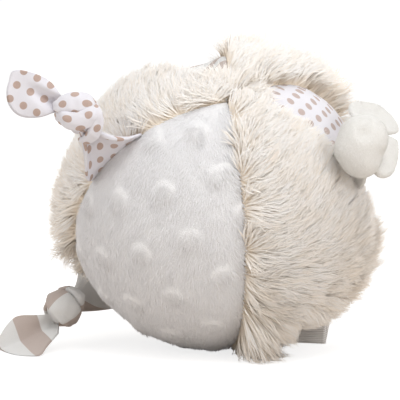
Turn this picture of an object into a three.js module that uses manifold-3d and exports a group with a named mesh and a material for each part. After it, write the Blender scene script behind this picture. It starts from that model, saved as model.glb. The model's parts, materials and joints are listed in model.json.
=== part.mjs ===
// Soft activity ball: six cloth gores round a fibre filling with a rattle, three knotted tags and a ribbon.
// Millimetres, +Z up. The origin is on the floor, on the flat of the minky gore that the ball stands on.
import * as THREE from 'three';
import { mergeVertices } from 'three/addons/utils/BufferGeometryUtils.js';
import Module from 'manifold-3d';

const wasm = await Module();
wasm.setup();

// Ball
const seamRadius = 72.2;      // outer face of the cloth at a seam
const panelThickness = 2.2;   // cloth at a seam
const smoothRise = 2.3;       // crown of a smooth gore above its seams
const furRise = 5.8;          // crown of the fur pile above its seams
const shoulder = 14;          // distance from a seam to the full crown
const gatherRadius = 1.2;     // open middle of the gathered gore tips at each pole
const restDepth = 0.5;        // depth of the flat that the ball stands on
const clearance = 0.3;        // gap between touching pieces
const poleElevation = 47;     // tilt of the upper pole, in degrees above the floor
const poleAzimuth = 5.5;      // turn of the upper pole towards +X, in degrees
const firstSeam = 5.5;        // longitude of the seam at the front, in degrees from straight down

// Rattle
const rattleRadius = 17;      // outside of the capsule
const rattleWall = 1.6;
const rattleLap = 2;          // height of the lower half's spigot
const beadRadius = 3.2;
const beadCount = 4;
const beadCircle = 5.2;       // radius of the circle that the beads rest on

// Cloth of the tags
const sheetThickness = 2.4;   // a tag's folded cloth
const hemThickness = 1.2;     // the same cloth pressed flat where it is sewn in
const hemStand = 0.9;         // height of the sewn root above the seam
const hemShare = 1 / 3;       // part of a sewn root over which the cloth thickens

// Knots: a tight core and two flat wraps that cross round it. A wrap's ring is a share of the knot's half
// width, its shift a share of the knot's half length, and its tilt and turn are in degrees.
const coreInset = 1;          // the core lies this far inside the wraps
const wrapRadius = 4.2;       // rounded section of a wrap
const wrapSpread = 1.5;       // a wrap's width over its height
const wraps = [
  { ring: 0.62, tilt: 18, turn: 0, shift: -0.28 },
  { ring: 0.6, tilt: 58, turn: 75, shift: 0.12 },
];

// Loose ends of the tags, which open from the knot into a dished leaf
const tailStem = 3;           // thickness where a loose end leaves its knot
const tailHeel = 1.2;         // length of the stem behind the point where it bends
const tailNeck = 1 / 3;       // width of the stem, as a share of the tag's neck
const tailTip = 4;            // width of the blunt tip
const tailEdge = 0.4;         // thickness at the edges, as a share of the middle
const tailFullness = 0.8;     // under 1 the leaf is widest nearer the knot
const tailBluntness = 0.55;   // under 1 the leaf is fuller than a sine

// Ribbon
const ribbonWidth = 15.5;
const ribbonLength = 29;      // from the seam to the folded end, along the bend
const ribbonThickness = 2;    // two layers, pressed together
const ribbonBend = 115;       // turn from the seam to the folded end, towards the fur, in degrees

// Tessellation
const panelRows = 18;
const panelColumns = 8;
const flareRows = 7;
const flareColumns = 10;
const tailRows = 9;
const tailColumns = 6;
const ribbonRows = 9;
const latheSegments = 24;
const arcSteps = 7;
const coreSegments = [14, 9];
const wrapSegments = [7, 18];
const beadSegments = [10, 7];

const cloth = (color, roughness = 0.95) => new THREE.MeshStandardMaterial({ color, roughness, metalness: 0 });
const materials = {
  minky: cloth(0xf1f1f3),
  fur: cloth(0xe4dfd5, 1),
  dotted: cloth(0xf2eff4, 0.9),
  striped: cloth(0xd6cfca, 0.9),
  plush: cloth(0xeeede9),
  ribbon: cloth(0xc9c1be, 0.8),
  filling: cloth(0xf7f7f5, 1),
  capsule: cloth(0xf0f0ec, 0.45),
  bead: cloth(0xd8a25c, 0.4),
};

// Gores in turn round the pole, starting at the front seam, with their widths in degrees.
const gores = [
  { name: 'panel_fur_right', width: 67, material: materials.fur, rise: furRise },
  { name: 'panel_dotted', width: 52, material: materials.dotted, rise: smoothRise },
  { name: 'panel_fur_top', width: 50, material: materials.fur, rise: furRise },
  { name: 'panel_striped', width: 52, material: materials.striped, rise: smoothRise },
  { name: 'panel_fur_left', width: 56, material: materials.fur, rise: furRise },
  { name: 'panel_minky', width: 83, material: materials.minky, rise: smoothRise },
];

// Tags: the seam is named by the gore that starts there, polar is the angle from the upper pole to the middle
// of the root. Points and directions are in the root's frame: x along the seam to the pole, y to the gore
// before the seam, z outwards. A knot's size holds its half lengths across the tag, through it and along it.
const tags = [
  {
    name: 'dotted', material: materials.dotted, seam: 'panel_minky', polar: 49,
    rootWidth: 36, neckWidth: 15, neckCurl: 150, opensTo: -1,
    knot: [7, 8, 25], knotSize: [10.5, 9, 12.5],
    tailRoot: [2.8, 14.9, 34.5], tailAim: [-0.31, 0.59, 0.74], tailFace: [0.41, -0.62, 0.67],
    tailLength: 26, tailWidth: 25, tailThickness: 5, tailDish: 2.5,
  },
  {
    name: 'striped', material: materials.striped, seam: 'panel_minky', polar: 121,
    rootWidth: 30, neckWidth: 14, neckCurl: 150, opensTo: 1,
    knot: [2.1, -12.7, 20.8], knotSize: [9.5, 9, 10.5],
    tailRoot: [5.6, -16.6, 28.4], tailAim: [0.46, -0.14, 0.88], tailFace: [0.75, -0.62, -0.5],
    tailLength: 26.5, tailWidth: 20.5, tailThickness: 5, tailDish: 1.5,
  },
  {
    name: 'plush', material: materials.plush, seam: 'panel_dotted', polar: 50,
    rootWidth: 32, neckWidth: 17, neckCurl: 150, opensTo: 1,
    knot: [7, 0.7, 21.5], knotSize: [13, 11.5, 11.5],
    tailRoot: [-0.4, -8, 18.2], tailAim: [-0.75, -0.65, 0.05], tailFace: [0.25, -0.3, 0.92],
    tailLength: 20, tailWidth: 34, tailThickness: 8, tailDish: 2,
  },
];
const ribbon = { seam: 'panel_dotted', polar: 132 };

const rad = THREE.MathUtils.degToRad;
const vector = ([x, y, z]) => new THREE.Vector3(x, y, z);
const panelInner = seamRadius - panelThickness;

let longitude = firstSeam;
for (const gore of gores) {
  gore.from = rad(longitude);
  longitude += gore.width;
  gore.to = rad(longitude);
}
const seamAt = (name) => gores.find((gore) => gore.name === name).from;

// A gore's columns lie closer together near its seams. Its flat facets dip inside the round that they follow,
// so the filling is smaller by the deepest dip.
const columnShare = (j) => (j / panelColumns + (1 - Math.cos((Math.PI * j) / panelColumns)) / 2) / 2;
const widestStep = columnShare(panelColumns / 2) - columnShare(panelColumns / 2 - 1);
const widestGore = Math.max(...gores.map((gore) => gore.to - gore.from));
const facetDip = Math.cos((widestGore * widestStep) / 2) * Math.cos(Math.PI / panelRows / 2);
const fillingRadius = panelInner * facetDip - clearance;

// A closed sheet between two grids of points, front(i, j) and back(i, j), with walls round its edge.
function sheetGeometry(rows, columns, front, back) {
  const across = columns + 1;
  const side = (rows + 1) * across;
  const points = [];
  for (const face of [front, back])
    for (let i = 0; i <= rows; i++)
      for (let j = 0; j <= columns; j++) points.push(...face(i, j).toArray());
  const index = [];
  const quad = (a, b, c, d) => index.push(a, b, c, a, c, d);
  const at = (i, j) => i * across + j;
  for (let i = 0; i < rows; i++)
    for (let j = 0; j < columns; j++) {
      const corners = [at(i, j), at(i + 1, j), at(i + 1, j + 1), at(i, j + 1)];
      quad(...corners);
      quad(...corners.reverse().map((k) => k + side));
    }
  const wall = (a, b) => quad(a, b, b + side, a + side);
  for (let i = 0; i < rows; i++) {
    wall(at(i + 1, 0), at(i, 0));
    wall(at(i, columns), at(i + 1, columns));
  }
  for (let j = 0; j < columns; j++) {
    wall(at(0, j), at(0, j + 1));
    wall(at(rows, j + 1), at(rows, j));
  }
  const geometry = new THREE.BufferGeometry();
  geometry.setAttribute('position', new THREE.Float32BufferAttribute(points, 3));
  geometry.setIndex(index);
  return geometry;
}

function solid(geometry, matrix = new THREE.Matrix4()) {
  const bare = new THREE.BufferGeometry();
  bare.setAttribute('position', geometry.getAttribute('position').clone());
  bare.setIndex(geometry.getIndex());
  const merged = mergeVertices(bare.applyMatrix4(matrix));
  return new wasm.Manifold(new wasm.Mesh({
    numProp: 3,
    vertProperties: new Float32Array(merged.getAttribute('position').array),
    triVerts: new Uint32Array(merged.getIndex().array),
  }));
}

function geometryOf(body) {
  const { vertProperties, triVerts } = body.getMesh();
  const geometry = new THREE.BufferGeometry();
  geometry.setAttribute('position', new THREE.Float32BufferAttribute(vertProperties, 3));
  geometry.setIndex(Array.from(triVerts));
  geometry.computeVertexNormals();
  return geometry;
}

function named(name, geometry, material) {
  const mesh = new THREE.Mesh(geometry, material);
  mesh.name = name;
  return mesh;
}

// A point on the ball, from the angle to its pole, the longitude and the radius.
function onBall(polar, turn, radius) {
  const out = Math.sin(polar) * radius;
  return new THREE.Vector3(out * Math.cos(turn), out * Math.sin(turn), Math.cos(polar) * radius);
}

const easeIn = (x) => (1 - Math.cos(Math.PI * Math.min(x, 1))) / 2;

// A gore of the ball, from pole to pole, crowned between its two seams.
function panelGeometry({ from, to, rise }) {
  const tip = gatherRadius / seamRadius;
  const polarAt = (i) => tip + (Math.PI - 2 * tip) * (i / panelRows);
  const place = (i, j, radiusAt) => {
    const polar = polarAt(i);
    const share = columnShare(j);
    const turn = from + (to - from) * share;
    const toSeam = seamRadius * Math.sin(polar) * Math.min(turn - from, to - turn);
    const radius = radiusAt(toSeam);
    const inset = Math.asin(clearance / 2 / (radius * Math.sin(polar)));
    return onBall(polar, from + inset + (to - from - 2 * inset) * share, radius);
  };
  return sheetGeometry(
    panelRows,
    panelColumns,
    (i, j) => place(i, j, (toSeam) => seamRadius + rise * easeIn(toSeam / shoulder)),
    (i, j) => place(i, j, () => panelInner),
  );
}

// A half of the filling: a dome with a flat face and a round recess for the capsule.
function fillingGeometry() {
  const recess = rattleRadius + clearance;
  const half = clearance / 2;
  return onAxis([
    ...arc(recess, Math.PI / 2, Math.asin(half / recess)),
    ...arc(fillingRadius, Math.asin(half / fillingRadius), Math.PI / 2),
  ]);
}

// A lathed body about +Z, with profile points of radius and height.
function onAxis(profile) {
  for (const point of profile) if (Math.abs(point.x) < 1e-6) point.x = 0;
  return new THREE.LatheGeometry(profile, latheSegments).rotateX(Math.PI / 2);
}

function arc(radius, start, end) {
  return Array.from({ length: arcSteps + 1 }, (_, k) => {
    const angle = start + (end - start) * (k / arcSteps);
    return new THREE.Vector2(radius * Math.cos(angle), radius * Math.sin(angle));
  });
}

// The capsule's lower cup, with a spigot, and its upper cup, with a rebate for that spigot.
function lowerShellGeometry() {
  const inside = rattleRadius - rattleWall;
  const spigot = rattleRadius - rattleWall / 2;
  const rim = clearance / 2;
  return onAxis([
    ...arc(rattleRadius, -Math.PI / 2, -Math.asin(rim / rattleRadius)),
    new THREE.Vector2(spigot, -rim),
    new THREE.Vector2(spigot, rattleLap),
    new THREE.Vector2(inside, rattleLap),
    ...arc(inside, 0, -Math.PI / 2),
  ]);
}

function upperShellGeometry() {
  const rebate = rattleRadius - rattleWall / 2 + clearance;
  const inside = rattleRadius - rattleWall;
  const rim = clearance / 2;
  const shelf = rattleLap + clearance;
  return onAxis([
    ...arc(inside, Math.PI / 2, Math.asin(shelf / inside)),
    new THREE.Vector2(rebate, shelf),
    new THREE.Vector2(rebate, rim),
    ...arc(rattleRadius, Math.asin(rim / rattleRadius), Math.PI / 2),
  ]);
}

// The sewn root of a tag: flat on the seam, curling into an open fold on its way to the knot.
function flareGeometry(tag) {
  const knot = vector(tag.knot);
  const path = new THREE.QuadraticBezierCurve3(
    new THREE.Vector3(),
    new THREE.Vector3(0, 0, knot.z / 2),
    knot,
  );
  const place = (i, j, side) => {
    const along = i / flareRows;
    const half = THREE.MathUtils.lerp(tag.rootWidth, tag.neckWidth, easeIn(along)) / 2;
    const curl = rad(tag.neckCurl) * along;
    const angle = curl * ((2 * j) / flareColumns - 1);
    const radius = curl > 0 ? half / curl : 0;
    const thick = THREE.MathUtils.lerp(hemThickness, sheetThickness, Math.min(along / hemShare, 1));
    const offset = (side * thick) / 2;
    const x = curl > 0 ? radius * Math.sin(angle) : half * ((2 * j) / flareColumns - 1);
    const y = radius * (1 - Math.cos(angle)) * tag.opensTo;
    const point = path.getPoint(along);
    point.x += x - offset * Math.sin(angle) * tag.opensTo;
    point.y += y + offset * Math.cos(angle);
    return point;
  };
  return sheetGeometry(flareRows, flareColumns, (i, j) => place(i, j, 1), (i, j) => place(i, j, -1));
}

// A knot, grown all over by a margin.
function knotSolid(tag, margin) {
  const [across, through, along] = tag.knotSize;
  const scaled = (x, y, z) => new THREE.Matrix4().makeScale(x, y, z);
  let body = solid(
    new THREE.SphereGeometry(1, ...coreSegments),
    scaled(across - coreInset + margin, through - coreInset + margin, along + margin),
  );
  for (const { ring, tilt, turn, shift } of wraps) {
    const band = new THREE.TorusGeometry(across * ring, wrapRadius + margin, ...wrapSegments);
    const flat = scaled(1, through / across, wrapSpread);
    const lean = new THREE.Matrix4();
    lean.makeRotationFromEuler(new THREE.Euler(rad(tilt), 0, rad(turn), 'ZXY'));
    lean.setPosition(0, 0, along * shift);
    body = body.add(solid(band, lean.multiply(flat)));
  }
  return body;
}

// A frame with z along one direction and x square to it and to a face direction.
function aimed(along, face) {
  const z = along.clone().normalize();
  const x = new THREE.Vector3().crossVectors(face, z).normalize();
  return new THREE.Matrix4().makeBasis(x, new THREE.Vector3().crossVectors(z, x), z);
}

// The loose end: a short stem at the knot, then a dished leaf with a blunt tip. It bends about its x axis.
function tailGeometry(tag) {
  const stem = (tag.neckWidth * tailNeck) / 2;
  const place = (i, j, side) => {
    const along = Math.max(i - 1, 0) / (tailRows - 1);
    const across = (2 * j) / tailColumns - 1;
    const belly = Math.sin(Math.PI * along ** tailFullness) ** tailBluntness;
    const half = Math.max(2 * stem * (1 - along) + (tag.tailWidth / 2 - stem) * belly, tailTip / 2);
    const swell = THREE.MathUtils.lerp(tailStem, tag.tailThickness, easeIn(2 * along));
    const thick = i === 0 ? tailStem / 2 : swell * (1 - (1 - tailEdge) * across ** 2);
    const dish = tag.tailDish * across ** 2 * easeIn(2 * along);
    const z = i === 0 ? -tailHeel : tag.tailLength * along;
    return new THREE.Vector3(half * across, dish + (side * thick) / 2, z);
  };
  return sheetGeometry(tailRows, tailColumns, (i, j) => place(i, j, 1), (i, j) => place(i, j, -1));
}

// The ribbon: two layers of a folded loop that stands out of the seam and bends over the fur.
function ribbonGeometry() {
  const bend = rad(ribbonBend);
  const radius = ribbonLength / bend;
  const place = (i, j, side) => {
    const angle = (bend * i) / ribbonRows;
    const thick = i === 0 ? hemThickness : ribbonThickness;
    const out = radius - (side * thick) / 2;
    return new THREE.Vector3((j - 0.5) * ribbonWidth, radius - out * Math.cos(angle), out * Math.sin(angle));
  };
  return sheetGeometry(ribbonRows, 1, (i, j) => place(i, j, 1), (i, j) => place(i, j, -1));
}

// The ball's own frame: its upper pole is +Z there, and longitude 0 runs straight down the front.
const pole = new THREE.Vector3().setFromSphericalCoords(1, rad(90 - poleElevation), rad(180 - poleAzimuth));
pole.set(pole.x, pole.z, pole.y);
const down = new THREE.Vector3(0, 0, -1).addScaledVector(pole, pole.z).normalize();
const ball = new THREE.Group();
ball.quaternion.setFromRotationMatrix(
  new THREE.Matrix4().makeBasis(down, new THREE.Vector3().crossVectors(pole, down), pole),
);
const part = new THREE.Group();
part.add(ball);

// The ball stands on the lowest point of its minky gore, which lies over the origin.
function lowestPoint(gore) {
  const points = panelGeometry(gore).getAttribute('position');
  const lowest = new THREE.Vector3();
  const point = new THREE.Vector3();
  for (let k = 0; k < points.count; k++) {
    point.fromBufferAttribute(points, k).applyQuaternion(ball.quaternion);
    if (point.z < lowest.z) lowest.copy(point);
  }
  return lowest;
}
ball.position.copy(lowestPoint(gores.find((gore) => gore.name === 'panel_minky'))).negate();
ball.position.z -= restDepth;
ball.updateMatrix();

// Gores, cut flat at the floor.
const floorSpan = 4 * seamRadius;
const floorBlock = solid(
  new THREE.BoxGeometry(floorSpan, floorSpan, floorSpan).translate(0, 0, -floorSpan / 2),
  ball.matrix.clone().invert(),
);
for (const gore of gores)
  ball.add(named(gore.name, geometryOf(solid(panelGeometry(gore)).subtract(floorBlock)), gore.material));

// Filling and rattle, level with the floor.
const core = new THREE.Group();
core.position.copy(ball.position);
const fillingLower = named('filling_lower', fillingGeometry(), materials.filling);
fillingLower.rotation.x = Math.PI;
core.add(
  named('filling_upper', fillingGeometry(), materials.filling),
  fillingLower,
  named('rattle_shell_upper', upperShellGeometry(), materials.capsule),
  named('rattle_shell_lower', lowerShellGeometry(), materials.capsule),
);
const beadReach = rattleRadius - rattleWall - beadRadius - clearance;
const beadGeometry = new THREE.SphereGeometry(beadRadius, ...beadSegments);
for (let k = 0; k < beadCount; k++) {
  const bead = named(`rattle_bead_${k + 1}`, beadGeometry, materials.bead);
  const turn = (2 * Math.PI * k) / beadCount;
  bead.position.set(
    beadCircle * Math.cos(turn),
    beadCircle * Math.sin(turn),
    -Math.sqrt(beadReach ** 2 - beadCircle ** 2),
  );
  core.add(bead);
}
part.add(core);

// A group on a seam, with x along the seam to the upper pole and z outwards.
function onSeam(name, seam, polarDegrees) {
  const polar = rad(polarDegrees);
  const turn = seamAt(seam);
  const out = onBall(polar, turn, 1);
  const toPole = onBall(polar - Math.PI / 2, turn, 1);
  const group = new THREE.Group();
  group.name = name;
  group.quaternion.setFromRotationMatrix(
    new THREE.Matrix4().makeBasis(toPole, new THREE.Vector3().crossVectors(out, toPole), out),
  );
  group.position.copy(out.multiplyScalar(seamRadius + hemStand));
  return group;
}

for (const tag of tags) {
  const group = onSeam(`${tag.name}_tag`, tag.seam, tag.polar);
  const centre = vector(tag.knot);
  const aim = vector(tag.tailAim).normalize();
  const leaning = centre.clone().addScaledVector(aim, centre.length());
  const knotFrame = aimed(leaning, vector(tag.tailFace));
  knotFrame.setPosition(centre);
  const tail = new THREE.Group();
  tail.name = `${tag.name}_tail_group`;
  tail.quaternion.setFromRotationMatrix(aimed(aim, vector(tag.tailFace)));
  tail.position.copy(vector(tag.tailRoot));
  tail.updateMatrix();
  const reach = 4 * tag.knotSize[2];
  const tailRoom = solid(
    new THREE.BoxGeometry(reach, reach, reach).translate(0, 0, reach / 2 - tailHeel - clearance),
    tail.matrix,
  );
  const knot = knotSolid(tag, 0).transform(knotFrame.elements).subtract(tailRoom);
  const knotRoom = knotSolid(tag, clearance).transform(knotFrame.elements);
  const flare = solid(flareGeometry(tag)).subtract(knotRoom);
  tail.add(named(`${tag.name}_tail`, tailGeometry(tag), tag.material));
  group.add(
    named(`${tag.name}_flare`, geometryOf(flare), tag.material),
    named(`${tag.name}_knot`, geometryOf(knot), tag.material),
    tail,
  );
  ball.add(group);
}

const ribbonGroup = onSeam('ribbon', ribbon.seam, ribbon.polar);
ribbonGroup.add(named('ribbon_loop', ribbonGeometry(), materials.ribbon));
ball.add(ribbonGroup);

export default part;
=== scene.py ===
"""A soft activity ball of fur, plush and cotton gores, with knotted tags and a ribbon loop."""

import json
import math

import bpy
import numpy as np
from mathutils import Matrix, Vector
from mathutils.kdtree import KDTree


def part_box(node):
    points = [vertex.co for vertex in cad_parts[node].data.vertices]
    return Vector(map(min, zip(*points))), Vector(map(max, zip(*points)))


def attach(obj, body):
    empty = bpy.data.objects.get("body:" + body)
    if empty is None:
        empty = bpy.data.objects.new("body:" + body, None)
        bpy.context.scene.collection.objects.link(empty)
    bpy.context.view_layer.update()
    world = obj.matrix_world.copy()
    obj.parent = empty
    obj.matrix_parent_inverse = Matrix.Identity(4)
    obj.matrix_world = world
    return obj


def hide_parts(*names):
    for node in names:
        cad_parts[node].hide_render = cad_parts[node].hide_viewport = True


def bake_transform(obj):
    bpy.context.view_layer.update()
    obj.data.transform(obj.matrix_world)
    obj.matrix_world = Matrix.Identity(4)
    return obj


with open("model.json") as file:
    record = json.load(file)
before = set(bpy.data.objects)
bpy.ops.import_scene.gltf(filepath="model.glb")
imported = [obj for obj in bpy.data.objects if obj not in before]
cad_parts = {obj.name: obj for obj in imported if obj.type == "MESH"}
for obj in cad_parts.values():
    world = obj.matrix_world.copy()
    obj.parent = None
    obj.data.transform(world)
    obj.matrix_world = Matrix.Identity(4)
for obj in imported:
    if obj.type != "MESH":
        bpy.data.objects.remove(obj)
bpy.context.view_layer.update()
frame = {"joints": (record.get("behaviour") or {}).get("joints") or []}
scene = bpy.context.scene

# Sizes are in millimetres in the part's frame, and angles in degrees, unless a name says otherwise.
MM = 0.001

# The ball and its gores, as packed. A gore runs between two seams, given by their longitudes.
SEAM_RADIUS = 72.2
SMOOTH_RISE = 2.3  # crown of a smooth gore above its seams
SHOULDER = 14  # distance from a seam to the full crown
GATHER_RADIUS = 0.6  # open middle of the gathered tips
SEAM_GAP = 0.3
FUR_SKIN_RISE = {"panel_fur_right": 2.6, "panel_fur_top": 3.6, "panel_fur_left": 1.2}  # crown under the fur
CLOTH = 1.8  # cloth of a gore with the filling that clings to it
FLAT_CLOTH = 0.5  # the same where the floor presses it flat
POLE_ELEVATION = 47
POLE_AZIMUTH = 5.5
FLOOR_CLEAR = 0.2  # lowest cloth above the floor
SETTLE = 0.7  # height over which loose cloth comes to rest
GORES = {
    "panel_fur_right": (5.5, 72.5),
    "panel_dotted": (72.5, 124.5),
    "panel_fur_top": (124.5, 174.5),
    "panel_striped": (174.5, 226.5),
    "panel_fur_left": (226.5, 282.5),
    "panel_minky": (282.5, 365.5),
}

# Camera, fitted to the photograph
CAMERA_ELEVATION = 6
CAMERA_DISTANCE = 1100
FOCAL_PIXELS = 2194  # at an image width of 400 pixels
IMAGE_PIXELS = 400
SENSOR_WIDTH = 36
BALL_PIXEL = (216.5, 201)  # where the ball's middle lies in the image


def unit(v):
    return v / np.linalg.norm(v, axis=-1, keepdims=True)


def ease(x):
    x = np.clip(x, 0, 1)
    return x * x * (3 - 2 * x)


def passed(value, span):
    """From 0 at the start of a span to 1 at its end."""
    return ease((value - span[0]) / (span[1] - span[0]))


def between(a, b, share):
    return a * (1 - share) + b * share


def heading(angle, ahead, aside):
    """Directions turned by an angle from one direction to another."""
    return np.cos(angle)[:, None] * ahead + np.sin(angle)[:, None] * aside


def wander(points, wavelength, seed, waves=7):
    """Smooth noise, mostly from -1 to 1, at each point."""
    rng = np.random.default_rng(seed)
    directions = unit(rng.normal(size=(waves, points.shape[-1])))
    turns = rng.uniform(0.6, 1.5, waves) * 2 * np.pi / wavelength
    phases = rng.uniform(0, 2 * np.pi, waves)
    return np.sin((points @ directions.T) * turns + phases).sum(-1) * 1.7 / waves


def spline(points, count):
    """Points at even steps of a Catmull-Rom curve through the given ones, ends included."""
    p = np.asarray(points, float)
    p = np.vstack([2 * p[0] - p[1], p, 2 * p[-1] - p[-2]])
    t = np.linspace(0, len(points) - 1, count)
    k = np.minimum(t.astype(int), len(points) - 2)
    f = (t - k)[:, None]
    a, b, c, d = p[k], p[k + 1], p[k + 2], p[k + 3]
    return 0.5 * (2 * b + (c - a) * f + (2 * a - 5 * b + 4 * c - d) * f**2 + (3 * b - a - 3 * c + d) * f**3)


# The ball's own frame
shell_low, shell_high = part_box("rattle_shell_lower")[0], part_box("rattle_shell_upper")[1]
CENTRE = np.array(shell_low + shell_high) / 2 / MM
elevation, azimuth = math.radians(POLE_ELEVATION), math.radians(POLE_AZIMUTH)
POLE = np.array([
    math.cos(elevation) * math.sin(azimuth),
    -math.cos(elevation) * math.cos(azimuth),
    math.sin(elevation),
])
DOWN = unit(POLE * POLE[2] - np.array([0, 0, 1]))
SIDE = np.cross(POLE, DOWN)


def ball_axes(polar, turn):
    """Unit vectors outwards, away from the pole and round it."""
    c, s = np.cos(polar)[..., None], np.sin(polar)[..., None]
    across = np.cos(turn)[..., None] * DOWN + np.sin(turn)[..., None] * SIDE
    around = -np.sin(turn)[..., None] * DOWN + np.cos(turn)[..., None] * SIDE
    return c * POLE + s * across, -s * POLE + c * across, around


def seam_distances(gore, polar, turn):
    first, last = np.radians(GORES[gore])
    width = SEAM_RADIUS * np.sin(polar)
    return width * (turn - first), width * (last - turn)


def crown(gore, polar, turn, rise):
    """Radius of a gore that swells between its seams."""
    near, far = seam_distances(gore, polar, turn)
    return SEAM_RADIUS + rise * np.sin(np.pi / 2 * np.clip(np.minimum(near, far) / SHOULDER, 0, 1))


# Meshes
def add_object(name, data):
    added = bpy.data.objects.new(name, data)
    scene.collection.objects.link(added)
    return added


class Form:
    """Points, faces and cloth coordinates, gathered from closed parts."""

    def __init__(self):
        self.points, self.faces, self.uvs, self.count = [], [], [], 0

    def add(self, points, faces, uvs):
        volume = sum(
            np.einsum("ij,ij->", points[f[:, 0]], np.cross(points[f[:, k]], points[f[:, k + 1]]))
            for f in faces
            for k in range(1, f.shape[1] - 1)
        )
        for f, uv in zip(faces, uvs):
            turned = f if volume > 0 else f[:, ::-1]
            self.faces.append(turned + self.count)
            self.uvs.append(uv if volume > 0 else uv[:, ::-1])
        self.points.append(points)
        self.count += len(points)
        return self

    def shell(self, front, back, uv):
        """A closed sheet between two grids of points."""
        rows, columns = front.shape[:2]
        total = rows * columns
        index = np.arange(total).reshape(rows, columns)
        top = np.stack([index[:-1, :-1], index[1:, :-1], index[1:, 1:], index[:-1, 1:]], -1).reshape(-1, 4)
        rim = np.concatenate([index[:, 0], index[-1, 1:], index[-2::-1, -1], index[0, -2:0:-1]])
        following = np.roll(rim, -1)
        walls = np.stack([following, rim, rim + total, following + total], -1)
        faces = np.concatenate([top, top[:, ::-1] + total, walls])
        points = np.concatenate([front.reshape(-1, 3), back.reshape(-1, 3)])
        return self.add(points, [faces], [uv.reshape(-1, 2)[faces % total]])

    def tube(self, rings, uv):
        """A closed tube of rings, with its ends capped. uv has one column more than a ring has points."""
        rows, columns = rings.shape[:2]
        i, j = np.meshgrid(np.arange(rows - 1), np.arange(columns), indexing="ij")
        corners = [(i, j), (i + 1, j), (i + 1, j + 1), (i, j + 1)]
        quads = np.stack([a * columns + b % columns for a, b in corners], -1).reshape(-1, 4)
        quad_uv = np.stack([uv[a, b] for a, b in corners], 2).reshape(-1, 4, 2)
        ends = np.stack([rings[0].mean(0), rings[-1].mean(0)])
        k = np.arange(columns)
        after = (k + 1) % columns
        first, last = rows * columns, (rows - 1) * columns
        caps = np.concatenate([
            np.stack([np.full(columns, first), k, after], -1),
            np.stack([np.full(columns, first + 1), last + after, last + k], -1),
        ])
        cap_uv = np.concatenate([
            np.stack([uv[0, :-1].mean(0) + 0 * uv[0, k], uv[0, k], uv[0, k + 1]], 1),
            np.stack([uv[-1, :-1].mean(0) + 0 * uv[-1, k], uv[-1, k + 1], uv[-1, k]], 1),
        ])
        return self.add(np.concatenate([rings.reshape(-1, 3), ends]), [quads, caps], [quad_uv, cap_uv])

    def piece(self, name, material, map_name="cloth", values=None, smooth=True):
        """The form as an object, in metres, with its values as attributes of its points."""
        points = np.concatenate(self.points) * MM
        corners = np.concatenate([f.ravel() for f in self.faces])
        sizes = np.concatenate([np.full(len(f), f.shape[1]) for f in self.faces])
        mesh = bpy.data.meshes.new(name)
        mesh.vertices.add(len(points))
        mesh.vertices.foreach_set("co", points.astype(np.float32).ravel())
        mesh.loops.add(len(corners))
        mesh.loops.foreach_set("vertex_index", corners.astype(np.int32))
        mesh.polygons.add(len(sizes))
        mesh.polygons.foreach_set("loop_start", np.concatenate([[0], np.cumsum(sizes)[:-1]]).astype(np.int32))
        mesh.polygons.foreach_set("use_smooth", np.full(len(sizes), smooth))
        mesh.update(calc_edges=True)
        uv = np.concatenate([u.reshape(-1, 2) for u in self.uvs])
        mesh.uv_layers.new(name=map_name).data.foreach_set("uv", uv.astype(np.float32).ravel())
        for label, value in (values or {}).items():
            mesh.attributes.new(label, "FLOAT", "POINT").data.foreach_set("value", value.astype(np.float32))
        mesh.materials.append(material)
        return add_object(name, mesh)


# Materials. Colours are given as they look on a screen, from 0 to 255.
def srgb(r, g, b):
    """A colour as the shaders take it."""
    linear = [c / 3294.6 if c < 10.3 else ((c / 255 + 0.055) / 1.055) ** 2.4 for c in (r, g, b)]
    return (*linear, 1)


def add_node(tree, kind, *inputs, out=0, **settings):
    """A node with its inputs set or linked, and one of its outputs."""
    node = tree.nodes.new("ShaderNode" + kind)
    for key, value in settings.items():
        setattr(node, key, value)
    for k, value in inputs:
        if isinstance(value, bpy.types.NodeSocket):
            tree.links.new(value, node.inputs[k])
        else:
            node.inputs[k].default_value = value
    return node.outputs[out]


def new_material(name, roughness, sheen=0, specular=0.3):
    material = bpy.data.materials.new(name)
    material.use_nodes = True
    tree = material.node_tree
    shader = tree.nodes["Principled BSDF"]
    shader.inputs["Roughness"].default_value = roughness
    shader.inputs["Sheen Weight"].default_value = sheen
    shader.inputs["Specular IOR Level"].default_value = specular
    return material, tree, shader


def math_node(tree, operation, a, b=0.0):
    return add_node(tree, "Math", (0, a), (1, b), operation=operation)


def mixed(tree, factor, a, b):
    """A mix of two colours, each a socket or three values."""
    a, b = (srgb(*colour) if isinstance(colour, tuple) else colour for colour in (a, b))
    return add_node(tree, "Mix", (0, factor), (6, a), (7, b), out=2, data_type="RGBA")


def paint(tree, shader, factor, a, b):
    tree.links.new(mixed(tree, factor, a, b), shader.inputs["Base Color"])


def ramp(tree, factor, *stops):
    socket = add_node(tree, "ValToRGB", (0, factor))
    elements = socket.node.color_ramp.elements
    while len(elements) < len(stops):
        elements.new(0.5)
    for element, (place, colour) in zip(elements, stops):
        element.position = place
        element.color = srgb(*colour)
    return socket


def noise(tree, scale, detail=3):
    """Noise with a given size of grain, in millimetres, in the part's frame."""
    place = add_node(tree, "TexCoord", out=3)
    return add_node(tree, "TexNoise", ("Vector", place), ("Scale", 1 / (scale * MM)), ("Detail", detail))


def bump(tree, shader, height, depth):
    """Relief of a given depth, in millimetres."""
    normal = add_node(tree, "Bump", ("Height", height), ("Distance", depth * MM), ("Strength", 1.0))
    tree.links.new(normal, shader.inputs["Normal"])


def cloth_map(tree):
    """Cloth coordinates, in millimetres."""
    return add_node(tree, "UVMap", uv_map="cloth")


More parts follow.
